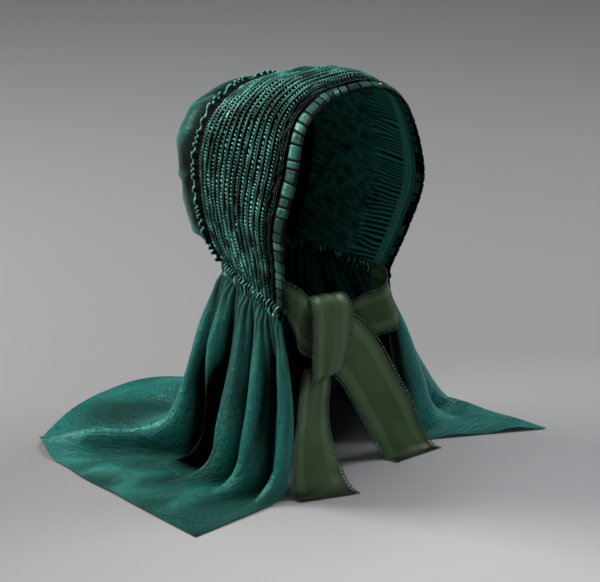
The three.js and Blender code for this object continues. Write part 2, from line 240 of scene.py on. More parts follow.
def drift(x, y, step, seed):
    """Smooth random hills between -1 and 1, about one every step mm, the same for the same seed."""
    table = np.random.default_rng(seed).uniform(-1, 1, (HILLS, HILLS))
    x, y = np.broadcast_arrays(np.asarray(x, float) / step, np.asarray(y, float) / step)
    i, j = np.floor(x).astype(int), np.floor(y).astype(int)
    f, g = x - i, y - j
    f, g = f * f * (3 - 2 * f), g * g * (3 - 2 * g)
    near_i, far_i, near_j, far_j = (k % HILLS for k in (i, i + 1, j, j + 1))
    low = table[near_i, near_j] * (1 - f) + table[far_i, near_j] * f
    high = table[near_i, far_j] * (1 - f) + table[far_i, far_j] * f
    return low * (1 - g) + high * g


def ease(x, start, end):
    """0 before start, 1 after end, and a soft step between them."""
    f = np.clip((x - start) / (end - start), 0, 1)
    return f * f * (3 - 2 * f)


def outward(grid, wrap=False):
    """Unit normals of a grid of rows and columns, out of the side that sees columns to the right, rows up."""
    if wrap:
        grid = np.concatenate([grid[:, -1:], grid, grid[:, :1]], axis=1)
    normal = np.cross(np.gradient(grid, axis=1), np.gradient(grid, axis=0))
    normal /= np.linalg.norm(normal, axis=2, keepdims=True) + 1e-12
    return normal[:, 1:-1] if wrap else normal


def run_of(grid, axis):
    """Length in mm from the grid's first column or row, along the middle of the grid."""
    step = np.linalg.norm(np.diff(grid, axis=axis), axis=2).mean(axis=1 - axis)
    return np.concatenate([[0], np.cumsum(step)])


def add_piece(name, points, faces, finish, uv, relief=None, stands_for=()):
    """A smooth mesh of points in mm, with a UV for every face corner, riding on the bonnet."""
    mesh = bpy.data.meshes.new(name)
    mesh.from_pydata((points * MM).tolist(), [], faces)
    layer = mesh.uv_layers.new(name="cloth_mm")
    layer.data.foreach_set("uv", uv)
    if relief is not None:
        # The painted light is one value per point: low where shade is painted in grooves and gathers, high
        # where light is painted on crests.
        depth = mesh.attributes.new("relief", "FLOAT", "POINT")
        depth.data.foreach_set("value", relief.ravel())
    mesh.materials.append(finish)
    mesh.shade_smooth()
    piece = bpy.data.objects.new(name, mesh)
    bpy.context.collection.objects.link(piece)
    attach(piece, "root")
    if stands_for:
        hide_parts(*stands_for)
    print(f"{name}: {2 * len(faces)} triangles")
    return piece


def cloth(name, grid, finish, relief=None, wrap=False, stands_for=(), uv=None):
    """A piece made of a grid of points in mm, with its millimetre UV map and its painted light and shade."""
    rows, columns = grid.shape[:2]
    number = np.arange(rows * columns).reshape(rows, columns)
    if wrap:
        number = np.concatenate([number, number[:, :1]], axis=1)
    corners = np.stack([number[:-1, :-1], number[:-1, 1:], number[1:, 1:], number[1:, :-1]], axis=-1)
    corners = corners.reshape(-1, 4)
    if uv is None:
        uv = np.stack(np.meshgrid(run_of(grid, 1), run_of(grid, 0)), axis=-1)
    corner_uv = uv.reshape(-1, 2)[corners.ravel()].ravel()
    return add_piece(name, grid.reshape(-1, 3), corners.tolist(), finish, corner_uv, relief, stands_for)


# %% [markdown]
# ## Silk taffeta
# Taffeta is a plain weave of fine, stiff silk. It is dark and clear in colour, has a crisp gloss that is
# nearly the colour of the cloth, and rustles into small sharp folds. Here and there a thicker thread, a
# slub, shows as a short dark dash along the weave. The shader is a dielectric with the refraction of silk,
# with a sheen for the loose filaments. Its colour has painted shade in the gathers, where light hardly
# reaches, and painted light on the crests, and its gloss is painted out in the gathers too.

# %% Silk finish
SILK_IOR = 1.56
THREAD_MM = 0.5  # real taffeta has about 40 threads to the centimetre, drawn coarser so that it shows
SLUB_MM = (16, 1.3)
CRUMPLE_MM = 8
CLOUD_MM = 45
WEAVE_MM = 0.4
WAVE_PERIOD = 0.314  # a wave texture of scale 1 repeats after this length
MIX_A, MIX_B, MIXED = 6, 7, 2  # the sockets in which a mix node keeps colours


def silk_taffeta(
    name, painted_light_stops, roughness, slub=0.35, glaze=0.05, gloss="#8fcdbf", shine=0.8, crumple_mm=0.8
):
    """A silk with painted shade in its gathers and painted light on its crests, as stops of the painted light,
    with slubs in it.
    """
    constants = {"IOR": SILK_IOR, "Specular IOR Level": shine, "Sheen Weight": glaze}
    constants |= {"Sheen Roughness": 0.35, "Sheen Tint": linear("#8fd6c8")}
    material, tree, shader = new_finish(name, constants)
    place = add(tree, "ShaderNodeUVMap", uv_map="cloth_mm").outputs["UV"]
    relief = add(tree, "ShaderNodeAttribute", attribute_name="relief").outputs["Fac"]
    colour = add(tree, "ShaderNodeValToRGB", {"Fac": relief})
    set_stops(colour.color_ramp, painted_light_stops)

    slub_scale = (1 / SLUB_MM[1], 1 / SLUB_MM[0], 1)
    stretch = add(tree, "ShaderNodeMapping", {"Vector": place, "Scale": slub_scale}).outputs["Vector"]
    slubs = add(tree, "ShaderNodeTexNoise", {"Vector": stretch, "Scale": 1.0, "Detail": 2.0})
    dashes = add(
        tree,
        "ShaderNodeMapRange",
        {"Value": slubs.outputs["Fac"], "From Min": 0.6, "From Max": 0.68},
    )
    cloud = add(tree, "ShaderNodeTexNoise", {"Vector": place, "Scale": 1 / CLOUD_MM, "Detail": 3.0})
    faded = add(
        tree,
        "ShaderNodeHueSaturation",
        {"Color": colour.outputs["Color"], "Saturation": 0.9, "Value": 1.5},
    )
    worn = add(
        tree,
        "ShaderNodeMix",
        {
            "Factor": cloud.outputs["Fac"],
            MIX_A: colour.outputs["Color"],
            MIX_B: faded.outputs["Color"],
        },
        data_type="RGBA",
    )
    dark = add(tree, "ShaderNodeMath", {0: dashes.outputs["Result"], 1: slub}, operation="MULTIPLY")
    thread = add(
        tree,
        "ShaderNodeMix",
        {"Factor": dark.outputs["Value"], MIX_A: worn.outputs[MIXED], MIX_B: linear("#04100e")},
        data_type="RGBA",
    )
    tree.links.new(thread.outputs[MIXED], shader.inputs["Base Color"])

    threads = {"Vector": place, "Scale": WAVE_PERIOD / THREAD_MM}
    warp = add(tree, "ShaderNodeTexWave", threads, bands_direction="X")
    weft = add(tree, "ShaderNodeTexWave", threads, bands_direction="Y")
    weave_height = add(
        tree, "ShaderNodeMath", {0: warp.outputs["Fac"], 1: weft.outputs["Fac"]}, operation="MULTIPLY"
    )
    crumple = add(
        tree,
        "ShaderNodeTexNoise",
        {"Vector": place, "Scale": 1 / CRUMPLE_MM, "Detail": 5.0, "Roughness": 0.62},
    )
    uneven = add(
        tree,
        "ShaderNodeMath",
        {0: slubs.outputs["Fac"], 1: 0.35, 2: crumple.outputs["Fac"]},
        operation="MULTIPLY_ADD",
    )
    fine = add(
        tree,
        "ShaderNodeBump",
        {"Height": weave_height.outputs["Value"], "Strength": 0.25, "Distance": WEAVE_MM * MM},
    )
    bump = add(
        tree,
        "ShaderNodeBump",
        {
            "Height": uneven.outputs["Value"],
            "Strength": 1.0,
            "Distance": crumple_mm * MM,
            "Normal": fine.outputs["Normal"],
        },
    )
    tree.links.new(bump.outputs["Normal"], shader.inputs["Normal"])
    rough = add(
        tree,
        "ShaderNodeMapRange",
        {"Value": relief, "From Min": 0.15, "From Max": 0.6, "To Min": 0.85, "To Max": roughness},
    )
    tree.links.new(rough.outputs["Result"], shader.inputs["Roughness"])
    # Painted shade on the gloss: the tint of the reflection goes to black in the grooves and gathers.
    shaded_gloss = add(tree, "ShaderNodeValToRGB", {"Fac": relief})
    set_stops(shaded_gloss.color_ramp, [(0.25, "#000000"), (0.6, gloss)])
    tree.links.new(shaded_gloss.outputs["Color"], shader.inputs["Specular Tint"])
    return material


# Each silk's stops paint shade, near black in the grooves and gathers, and paint light on the crests; the
# hood's last stop is a pale painted highlight on its canes.
hood_silk = silk_taffeta(
    "shirred_silk_taffeta",
    [(0.0, "#000101"), (0.25, "#010706"), (0.6, "#0a433d"), (1.0, "#58b9ab")],
    roughness=0.26,
    slub=0.2,
    gloss="#a8ded2",
    shine=1.0,
)
crown_silk = silk_taffeta(
    "plain_silk_taffeta",
    [(0.0, "#000404"), (0.35, "#03201d"), (0.7, "#0c4f49"), (1.0, "#1f7f74")],
    roughness=0.3,
    glaze=0.03,
    gloss="#8fd0c4",
)
cape_silk = silk_taffeta(
    "slubbed_silk_taffeta",
    [(0.0, "#000303"), (0.3, "#02130f"), (0.6, "#053a35"), (1.0, "#0a5f59")],
    roughness=0.3,
    slub=0.7,
    gloss="#7fd0c2",
    shine=1.0,
    crumple_mm=2.6,
)
lining_silk = silk_taffeta(
    "lining_silk", [(0.0, "#020a09"), (0.45, "#124a43"), (1.0, "#2a8174")], roughness=0.36, slub=0.15
)
print("silks:", [m.name for m in (hood_silk, crown_silk, cape_silk, lining_silk)])

# %% [markdown]
# ## The hood's form
# The hood is stretched over hoops of cane. Three hoops give its whole form: the face edge, the middle and the
# last one at the back. Between them the silk follows a simple curve. The tables are those of the solids.

# %% Hoops
FRONT_HOOP = [
    # half width, y, z
    (78, -38, -213),
    (90, -51, -168),
    (99.5, -61, -121),
    (88, -66, -74),
    (70, -60, -27),
    (38, -55, -8),
    (0, -40, -10),
]
MIDDLE_HOOP = [
    (66, 19, -208),
    (82, 12, -170),
    (95, 8, -121),
    (90, 6, -72),
    (72, 5, -24),
    (40, 4, -1.4),
    (0, 3, 3.8),
]
BACK_HOOP = [
    (50, 75, -202),
    (67, 76, -172),
    (79, 76, -126),
    (81, 76, -80),
    (64, 77, -45),
    (33, 76, -26),
    (0, 74, -20),
]
NAPE = [(29, 90, -203), (0, 95, -204)]


def both_sides(rows):
    """A table from the right corner over the middle to the left corner."""
    rows = np.array(rows, float)
    right, left = rows * [-1, 1, 1], rows[-2::-1]
    return np.vstack([right, left])


HOOPS = [both_sides(rows) for rows in (FRONT_HOOP, MIDDLE_HOOP, BACK_HOOP)]


def skin(along, deep):
    """The hood's outer face: along a hoop from the right corner, and deep from the face edge to the back."""
    along, deep = np.broadcast_arrays(np.asarray(along, float), np.asarray(deep, float))
    front, middle, back = (spline(rows, along) for rows in HOOPS)
    d = deep[..., None]
    return (1 - 2 * d) * (1 - d) * front + 4 * d * (1 - d) * middle + d * (2 * d - 1) * back


print("hood is", np.ptp(skin(np.linspace(0, 1, 99), 0.5)[:, 0]).round(), "mm wide")

# %% [markdown]
# ## The shirred hood
# Drawn silk is sewn into narrow casings, a cane is pushed through each, and the cloth is drawn up along the
# canes. So each rib is a smooth ridge between two rows of stitches, and the strip to the next rib is full of
# tiny slanting gathers. A texture could fake this, but ribs stand 2 mm proud and show on the outline, so they
# are real heights on a fine grid: one cane, two stitched grooves and one gathered strip for each rib.

# %% Hood
RIBS = 15
BAND_DEPTH = 0.1
HOOD_START = BAND_DEPTH + 0.011
CANE_AT = 0.32  # shares of the step from one rib to the next, from the face edge back
GROOVE_AT = 0.06
STITCH_AT = 0.46
CANE_RISE = 2.3
GROOVE_DEPTH = 2.0
GATHER_MM = 3.7
GATHER_RISE = 1.4
STITCH_DEPTH = 1.2
HOOD_SPLIT = 0.55  # the cloth is made in two pieces, to keep each mesh small


def near(share, place, width):
    """A soft bump of height 1 round a place in a step that repeats."""
    off = (share - place + 0.5) % 1 - 0.5
    return np.exp(-((off / width) ** 2))


def shirring(along, deep):
    """The hood's cloth as points and painted light."""
    base = skin(along, deep)
    x = np.broadcast_to(run_of(base, 1), along.shape)
    rib = (deep - HOOD_START) / (1 - HOOD_START) * RIBS
    wobble = 0.08 * drift(x, rib * 12, 30, 1) + 0.04 * drift(x, rib * 12, 9, 7)
    rib = rib + wobble * ease(rib, 0, 1) * ease(RIBS - rib, 0, 1)
    number = np.clip(np.floor(rib), 0, RIBS).astype(int)
    step = rib - number
    luck = np.random.default_rng(2)
    slant, shift = luck.uniform(0.5, 1.5, RIBS + 1)[number], luck.uniform(0, 1, RIBS + 1)[number]
    strip = ease(step, 0.46, 0.58) * (1 - ease(step, 0.94, 1.0))
    phase = x / GATHER_MM + 0.8 * drift(x, number * 40, 12, 3) - slant * step + shift
    gather = np.sin(2 * np.pi * phase)
    gather = (gather + 0.35 * np.sin(4 * np.pi * phase)) * (0.8 + 0.6 * drift(x, number * 30, 9, 4))
    cane = near(step, CANE_AT, 0.07) * (1 + 0.18 * drift(x, rib * 20, 5, 5))
    height = CANE_RISE * cane - GROOVE_DEPTH * near(step, GROOVE_AT, 0.12)
    height += strip * (0.4 + GATHER_RISE * gather) - STITCH_DEPTH * near(step, STITCH_AT, 0.07)
    tuft = (1 - ease(rib, 1.2, 1.9)) * ease(rib, 0.05, 0.4)
    height += tuft * (1.4 * drift(x, rib * 9, 4.5, 6) - 0.5 - 0.6 * height)
    # Painted light: the canes' crests and the lit flank of each gather are painted light. The grooves, the
    # front tufts and the rest of the strip are painted shade, with a little random change.
    lit_gather = ease(gather, -0.3, 0.8)
    relief = np.clip(0.1 + 0.85 * cane + strip * (0.08 + 0.75 * lit_gather), 0, 1)
    relief = relief * (1 - 0.45 * tuft) * (0.85 + 0.3 * drift(x, rib * 15, 14, 8))
    relief = np.clip(relief, 0, 1)
    return base + outward(base) * height[..., None], relief


for name, first, last in (
    ("shirred_hood_front", HOOD_START, HOOD_SPLIT),
    ("shirred_hood_back", HOOD_SPLIT, 1),
):
    grid, relief = shirring(*np.meshgrid(np.linspace(0, 1, 741), np.linspace(first, last, 97)))
    hood = cloth(name, grid, hood_silk, relief=relief, stands_for=["hood"])

# %% [markdown]
# ## The lining
# Inside, the silk is drawn up on three fine cords along the face edge, with short gathers between them, and
# then runs back in flat slanting wrinkles. It lies just inside the hood's wall.

# %% Lining
LINING_DEPTH = 4.7
LINING_START = 0.06
LINING_GATHER_MM = 4.6
CORDS = (0.115, 0.14, 0.165)
CORD_WIDTH = 0.006
CORD_RISE = 0.9

along, deep = np.meshgrid(np.linspace(0, 1, 501), np.linspace(LINING_START, 1, 121))
base = skin(along, deep)
x = np.broadcast_to(run_of(base, 1), along.shape)
near_edge = ease(deep, 0.16, 0.19) * (1 - ease(deep, 0.36, 0.5))
gathers = np.sin(2 * np.pi * (x / LINING_GATHER_MM + 0.9 * drift(x, deep * 60, 13, 11)))
swept = drift(x * 1.8 + 110 * deep, deep * 70 - 0.25 * x, 7, 12)
creases = (1 - 3.0 * np.abs(swept)) * ease(deep, 0.3, 0.45)
creases *= 0.8 + 0.5 * drift(x, deep * 90, 30, 13)
cords = sum(np.exp(-(((deep - cord) / CORD_WIDTH) ** 2)) for cord in CORDS)
height = near_edge * gathers + creases + CORD_RISE * cords
# Painted light and shade on the gathers and creases near the edge, and painted highlights on the cords.
lining_light = np.clip(0.42 + 0.45 * near_edge * gathers + 0.17 * creases + 0.5 * cords, 0, 1)
lining = cloth(
    "drawn_lining",
    (base - outward(base) * (LINING_DEPTH + height[..., None]))[:, ::-1],
    lining_silk,
    relief=lining_light[:, ::-1],
    stands_for=["hood_lining"],
)

# %% [markdown]
# ## The face band
# The face edge is bound by a wide casing that is pinched by a stitch every centimetre or so. Between the
# stitches the silk lies in flat, almost square tiles. The band is a flat tube round the edge, its half
# thickness dropping sharply at each stitch.

# %% Face band
BAND_TILES = 46
TILE_RISE = 2.2
STITCH_RISE = 0.9
STITCH_MM = 1.0
STITCH_STRAY = 2.4
BAND_SINK = 1.1  # the band's middle lies this far inside the hood's face
SEAM_AT = -0.25  # a seam parts the rolled front edge from the tiles
SEAM_WIDTH = 0.12
SEAM_DEPTH = 0.9


def square(value, power):
    """A sine or cosine made squarer by a power below 1."""
    return np.sign(value) * np.abs(value) ** power


along, turn = np.meshgrid(np.linspace(0, 1, 1261), np.linspace(0, 1, 29))
x_edge = run_of(skin(along, BAND_DEPTH / 2), 1)
stitches = np.linspace(0, x_edge[-1], BAND_TILES + 1)
stitches[1:-1] += np.random.default_rng(21).uniform(-STITCH_STRAY, STITCH_STRAY, BAND_TILES - 1)
angle = 2 * np.pi * turn
depth_share, rise_share = np.cos(angle), np.sin(angle)
lean = 1.6 * depth_share * drift(x_edge, 0, 14, 22)
off_stitch = np.abs((x_edge + lean)[..., None] - stitches).min(axis=-1)
pinch = np.exp(-((off_stitch / STITCH_MM) ** 2))
tile = np.searchsorted(stitches, (x_edge + lean).ravel()).reshape(lean.shape)
luck = np.random.default_rng(24).uniform(-1, 1, (2, BAND_TILES + 3))
tilt = luck[0][tile] * 0.5 * depth_share + luck[1][tile] * 0.25
rolled = 1 - ease(depth_share, -0.45, -0.15)  # 1 on the rolled front edge, 0 on the tiles
half = TILE_RISE + (STITCH_RISE - TILE_RISE) * pinch + 0.4 * drift(x_edge, depth_share * 9, 6, 23)
half *= 1 - 0.3 * rolled
half += tilt * (1 - pinch) - SEAM_DEPTH * np.exp(-(((depth_share - SEAM_AT) / SEAM_WIDTH) ** 2))
deep = BAND_DEPTH * (0.5 + 0.5 * square(depth_share, 0.7) * (1 - 0.1 * pinch))
base = skin(along, deep)
over = outward(skin(along, 0.02 + 0.06 * turn))
band_height = square(rise_share, 0.6) * half - BAND_SINK
# Painted light: each tile is a little lighter or darker with its tilt. Painted shade falls at the stitches, on
# the rolled edge, on the underside, and at the back where the band meets the hood.
shaded_underside = np.where(rise_share < 0, 0.7, 1)
band_light = (0.54 + 0.2 * luck[1][tile]) * (1 - 0.8 * pinch) * (1 - 0.45 * rolled) * shaded_underside
band_light -= 0.3 * ease(depth_share, 0.7, 1)
band = cloth(
    "face_band",
    base + over * band_height[..., None],
    hood_silk,
    relief=np.clip(band_light, 0, 1),
    stands_for=["front_band"],
)

# %% [markdown]
# ## The crown
# Behind the last rib the silk is left loose and puffs out into a bag that closes the back of the hood.
# Its form is a rounded box spun from the rim to a pole. Small gathers fan out of the rim and die away, and a
# few soft folds run further.

# %% Crown
CROWN_DEPTH = 80
CROWN_POLE_Z = -108
CROWN_ROUNDNESS = 2.6
CROWN_INSET = 2.6
CROWN_SEWN_IN = 4
CROWN_POLE = 0.9999  # just short of 1, where all points of a row would meet in one
RIM_GATHER_MM = 7

rim_rows = np.vstack([both_sides(BACK_HOOP), NAPE, np.array(NAPE[:1]) * [-1, 1, 1]])
up, round_rim = np.meshgrid(
    np.linspace(0, CROWN_POLE, 81), np.linspace(0, 1, 401)[:-1], indexing="ij"
)
rim = spline(rim_rows, round_rim, closed=True)
power = 2 / CROWN_ROUNDNESS
reach = np.cos(up * np.pi / 2) ** power
depth = np.sin(up * np.pi / 2) ** power
rim_x = np.concatenate([[0], np.cumsum(np.linalg.norm(np.diff(rim[0], axis=0), axis=1))])
x = np.broadcast_to(rim_x, up.shape)
fade = np.exp(-up * 7) * ease(up, 0.0, 0.04)
gathers = np.sin(2 * np.pi * (x / RIM_GATHER_MM + 0.9 * drift(x, up * 40, 16, 31)))
folds = drift(x, up * 30, 26, 32) * np.exp(-up * 2.2) * ease(up, 0.0, 0.12)
swept = drift(x + 55 * up, up * 25, 24, 34)
creases = (1 - 2.6 * np.abs(swept)) * np.exp(-up * 1.4) * ease(up, 0.02, 0.2)
settle = 1 - ease(up, 0.45, 0.92)  # the cloth lies smooth at the back
puffing = 0.8 * gathers * fade + 2.6 * folds + 3.6 * creases
puffing += 1.2 * drift(x, up * 160, 21, 33) * ease(up, 0, 0.2)
spoke = rim * [1, 0, 1] - np.array([0, 0, CROWN_POLE_Z])
radius = np.linalg.norm(spoke, axis=2)
spoke *= (reach * (radius - CROWN_INSET) / radius)[..., None]
start = rim[..., 1] - CROWN_SEWN_IN
back = start + (BACK_HOOP[0][1] + CROWN_DEPTH - CROWN_INSET - start) * depth
base = np.stack([spoke[..., 0], back, CROWN_POLE_Z + spoke[..., 2]], axis=-1)
# Painted light: painted shade near the frill that fades towards the back, and the puffs painted a little
# lighter than the hollows.
crown = cloth(
    "puffed_crown",
    base + outward(base, wrap=True) * (puffing * settle)[..., None],
    crown_silk,
    relief=np.clip(0.1 + 0.12 * puffing * settle + 0.5 * ease(up, 0.06, 0.4), 0, 1),
    wrap=True,
    stands_for=["crown"],
)

# %% [markdown]
# ## The crown frill
# A raw strip of silk stands up where crown and hood are joined, drawn up so far that its free edge snakes
# from side to side. It is a narrow strip whose sway grows from its foot to its edge.

# %% Crown frill
FRILL_WIDTH = 8.5
FRILL_WAVE_MM = 9
FRILL_SWAY = 2.4
FRILL_LOOP = 0.95
FRILL_LIFT = 2.4
FRILL_FOOT = 0.985

along, rise = np.meshgrid(np.linspace(0, 1, 1501), np.linspace(0, 1, 9))
foot = skin(along, FRILL_FOOT)
normal = outward(skin(along, 0.97 + 0.02 * rise))
x = np.broadcast_to(run_of(foot, 1), along.shape)
edge = np.gradient(foot, axis=1)
edge /= np.linalg.norm(edge, axis=2, keepdims=True)
stand = 0.2 * normal + [0, 1.0, 0]
stand /= np.linalg.norm(stand, axis=2, keepdims=True)
face = np.cross(edge, stand)
wave = 2 * np.pi * (x / FRILL_WAVE_MM + 0.9 * drift(x, 0, 15, 41))
sway = FRILL_SWAY * (1 + 0.4 * drift(x, 0, 11, 43)) * np.sin(wave) * rise
tuck = -FRILL_LOOP * np.sin(2 * wave) * rise  # turns the waves into round loops
width = FRILL_WIDTH * (1 + 0.14 * drift(x, 0, 12, 42))
frill_grid = foot + normal * FRILL_LIFT + stand * (width * rise)[..., None]
frill_grid += face * sway[..., None] + edge * tuck[..., None]
# Painted shade at the strip's foot, where it meets the crown, growing lighter towards its free edge.
frill = cloth(
    "crown_frill_strip",
    frill_grid,
    hood_silk,
    relief=np.clip(0.05 + 0.15 * rise + 0.7 * ease(rise, 0.7, 0.95), 0, 1),
    stands_for=["crown_frill"],
)

# %% [markdown]
# ## The neck casing
# Hood and cape meet in a casing that is drawn up on two strings. It reads as two rows of short crossing
# gathers. A flat tube follows the neckline, its outer face swelling in two rolls.

# %% Neck casing
RUCHING_DROP = 1.5
RUCHING_HEIGHT = 13
PUCKER_MM = 5.2
PUCKER_RISE = 1.3
ROLL_SWELL = 3.0
STRING_WANDER = 1.3
SEWN_IN = 3  # the casing takes in the raw edge of the hood

neck_rows = np.vstack(
    [
        skin(np.zeros(4), np.array([0.02, 0.35, 0.7, 1])),
        np.array([NAPE[0], NAPE[1]]) * [-1, 1, 1],
        [NAPE[0]],
        skin(np.ones(4), np.array([1, 0.7, 0.35, 0.02])),
    ]
)
fine_neck = spline(neck_rows, np.linspace(0, 1, 2001))
neck_run = np.concatenate([[0], np.cumsum(np.linalg.norm(np.diff(fine_neck, axis=0), axis=1))])
NECK_MM = neck_run[-1]


def neck(share):
    """The neckline by even steps, from the right jaw corner round the nape to the left."""
    at = np.asarray(share) * NECK_MM
    return np.stack([np.interp(at, neck_run, fine_neck[:, k]) for k in range(3)], axis=-1)


def neck_out(share):
    """Level direction out of the neck."""
    heading = neck(np.clip(share + 1e-3, 0, 1)) - neck(np.clip(share - 1e-3, 0, 1))
    level = np.stack([-heading[..., 1], heading[..., 0], 0 * heading[..., 0]], axis=-1)
    return level / np.linalg.norm(level, axis=-1, keepdims=True)


share, turn = np.meshgrid(np.linspace(0, 1, 761), np.linspace(0, 1, 33))
angle = 2 * np.pi * turn
x = share * NECK_MM
tall = square(np.cos(angle), 0.8)
rolls = 0.75 + 0.45 * np.abs(np.sin(np.pi * tall))
row_sign = np.where(tall > 0, 1, -1)
pucker_phase = x / PUCKER_MM + row_sign * 0.6 * tall + 1.1 * drift(x, row_sign * 40, 9, 51)
pucker = np.sin(2 * np.pi * pucker_phase) + 0.8 * drift(x, tall * 7, 3.5, 52)
swell = (ROLL_SWELL * rolls + PUCKER_RISE * pucker) * square(np.sin(angle), 0.8)
ruching_grid = neck(share) + neck_out(share) * swell[..., None]
ruching_grid[..., 2] += STRING_WANDER * drift(x, 0, 5, 53) * np.abs(tall)
ruching_grid[..., 2] += (RUCHING_HEIGHT + SEWN_IN) * (0.5 * tall - 0.5) - RUCHING_DROP + SEWN_IN
# Painted light: the puckers and the swell of the rolls are painted lighter, and the folds between them are
# painted shade.
ruching = cloth(
    "neck_casing",
    ruching_grid[:, ::-1],
    hood_silk,
    relief=np.clip(0.3 + 0.4 * pucker + 0.3 * (rolls - 0.95), 0, 1)[:, ::-1],
    stands_for=["neck_ruching"],
)
print("neckline", round(NECK_MM), "mm")

# %% [markdown]
# ## The cape's form
# The cape is gathered into the neck casing, falls to the table and runs out over it to its hem. Two tables
# carry it, the same as in the solids: where each part of it meets the table and where its hem lies, and where
# its folds stand out. A cloth simulation would find folds of its own, but these folds are known, so each
# fold moves three points, at the neck, at the foot and at the hem, and the cloth runs smoothly between them.

# %% Cape tables
CAPE_DROP = RUCHING_DROP + RUCHING_HEIGHT - 2.2  # sewn into the casing
CAPE_RUNS = np.array(
    [
        # foot x, foot y, hem x, hem y, bow to the front
        (-84, -50, -202, -42, 16),
        (-92, -12, -203, 18, 9),
        (-94, 28, -203, 84, 2),
        (-92, 72, -202, 152, 0),
        (-76, 114, -180, 230, 0),
        (-20, 138, -26, 273, 0),
        (50, 130, 70, 194, 0),
        (102, 90, 150, 122, 0),
        (142, 42, 198, 52, 0),
        (168, -12, 211, -42, 0),
        (98, -50, 226, -135, 0),
    ],
    float,
)
CAPE_FOLDS = [
    # place, spread, out at neck, out at foot, lift at foot, lift at hem
    (0.02, 0.04, 3, 6, 4, 0),
    (0.105, 0.05, 5, 17, 8, 1),
    (0.195, 0.045, 5, 20, 9, 2),
    (0.285, 0.045, 5, 16, 8, 1),
    (0.37, 0.04, 5, 18, 16, 14),
    (0.45, 0.04, 4, 12, 6, 3),
    (0.535, 0.045, 4, 12, 6, 2),
    (0.625, 0.045, 4, 14, 7, 2),
    (0.715, 0.045, 4, 14, 7, 1),
    (0.805, 0.045, 4, 14, 7, 2),
    (0.89, 0.04, 4, 12, 7, 2),
    (0.96, 0.035, 4, 14, 6, 1),
]
CAPE_FOOT_ROUND = 40
SHARP_FOOT = 14  # between two folds the cloth turns onto the table in a tighter bend
print("cape folds:", len(CAPE_FOLDS))


# %% Cape form
def crests(around):
    """Each fold's row, with its crest from 0 to 1 at places round the neck."""
    for fold in CAPE_FOLDS:
        gone = np.minimum(1, np.abs(around - fold[0]) / fold[1])
        yield fold, 0.5 + 0.5 * np.cos(np.pi * gone)


def fold_sum(around, column):
    """What all folds add at a place round the neck, for one column of their table."""
    return sum(fold[column] * crest for fold, crest in crests(around))


def fold_shape(around):
    """1 on the crest of a fold, 0 in the valley between two folds."""
    return np.max([crest for _, crest in crests(around)], axis=0)


def cape_sheet(around, down):
    """The cape's under face: round the neck from right to left, and down from the neck to the hem."""
    flat = np.full(len(CAPE_RUNS), TABLE_Z)
    top = neck(around)
    foot = spline(np.column_stack([CAPE_RUNS[:, :2], flat]), around)
    hem = spline(np.column_stack([CAPE_RUNS[:, 2:4], flat]), around)
    bow = spline(CAPE_RUNS[:, 4:] * [[0, -1, 0]], around)
    out = (hem - top) * [1, 1, 0]
    out /= np.linalg.norm(out, axis=-1, keepdims=True)
    top = top - [0, 0, CAPE_DROP] + out * fold_sum(around, 2)[..., None]
    foot = foot + out * fold_sum(around, 3)[..., None]
    foot[..., 2] += fold_sum(around, 4)
    hem[..., 2] += fold_sum(around, 5)
    fall = np.linalg.norm(top - foot, axis=-1)
    run = np.linalg.norm(foot - hem, axis=-1)
    gone = down * (fall + run) - fall
    bend_mm = SHARP_FOOT + (CAPE_FOOT_ROUND - SHARP_FOOT) * fold_shape(around) ** 2
    corner = np.minimum(bend_mm, 0.9 * np.minimum(run, fall))

    def on_fall(left):
        share = (left / fall)[..., None]
        return foot + (top - foot) * share + bow * np.sin(np.pi * share)

    def on_run(done):
        return foot + (hem - foot) * (done / run)[..., None]

    turn = np.clip((gone + corner) / (2 * corner), 0, 1)[..., None]
    bend = (1 - turn) ** 2 * on_fall(corner) + 2 * turn * (1 - turn) * foot + turn**2 * on_run(corner)
    falling = (gone <= -corner)[..., None]
    lying = (gone >= corner)[..., None]
    return np.where(falling, on_fall(-gone), np.where(lying, on_run(gone), bend)), gone


# %% [markdown]
# ## The cape
# Over that form come the small things that make it silk: gathers that fan out of the casing and fade within a
# hand's width, long soft creases that follow the fall, and a shallow swell where it lies on the table. They
# are heights on a fine grid, so that they show on the outline and in the shadows.

# %% Cape heights
CAPE_LIFT = 0.9
NECK_GATHER_MM = 6.5
PLEAT_MM = 19  # measured at the neck, where the cloth is drawn up to about half its width
SMALL_PLEAT = 3.5
DEEP_FOLD = 15
HOLLOW_AT = 0.275  # on the near side one fold dies away above a deep hollow
HOLLOW_WIDTH = 0.036
HOLLOW_DEPTH = 17
ROLL_AT = 0.37  # one fold lies on the table as a roll
ROLL_WIDTH = 0.014
ROLL_RISE = 9
GATHER_FADE_MM = 45
TABLE_GAP = 0.5  # cloth on the table lies this far above it

a, b = np.meshgrid(np.linspace(0, 1, 471), np.linspace(0, 1, 205))
around, down = 1 - a, 1 - b
base, gone = cape_sheet(around, down)
x = around * NECK_MM
from_neck = down * np.linalg.norm(np.diff(base, axis=0), axis=2).sum(axis=0)
neck_fade = np.exp(-from_neck / GATHER_FADE_MM)
gathers = np.sin(2 * np.pi * (x / NECK_GATHER_MM + 0.5 * drift(x, 0, 17, 61)))
creases = drift(x, from_neck * 0.09, 7.5, 62) * ease(from_neck, 10, 70)
slack = drift(x * 2, from_neck, 46, 63) * ease(from_neck, 60, 160)
swept = drift(x * 1.6 + 0.3 * from_neck, from_neck * 0.5, 38, 67)
ridges = (1 - 2.4 * np.abs(swept)) * ease(gone, 10, 60)
on_table = ease(gone, -10, 40)
pleat_phase = x / PLEAT_MM + 0.9 * drift(x, from_neck * 0.12, 34, 64)
small_pleats = 1.3 * np.abs(np.sin(np.pi * pleat_phase)) - 1
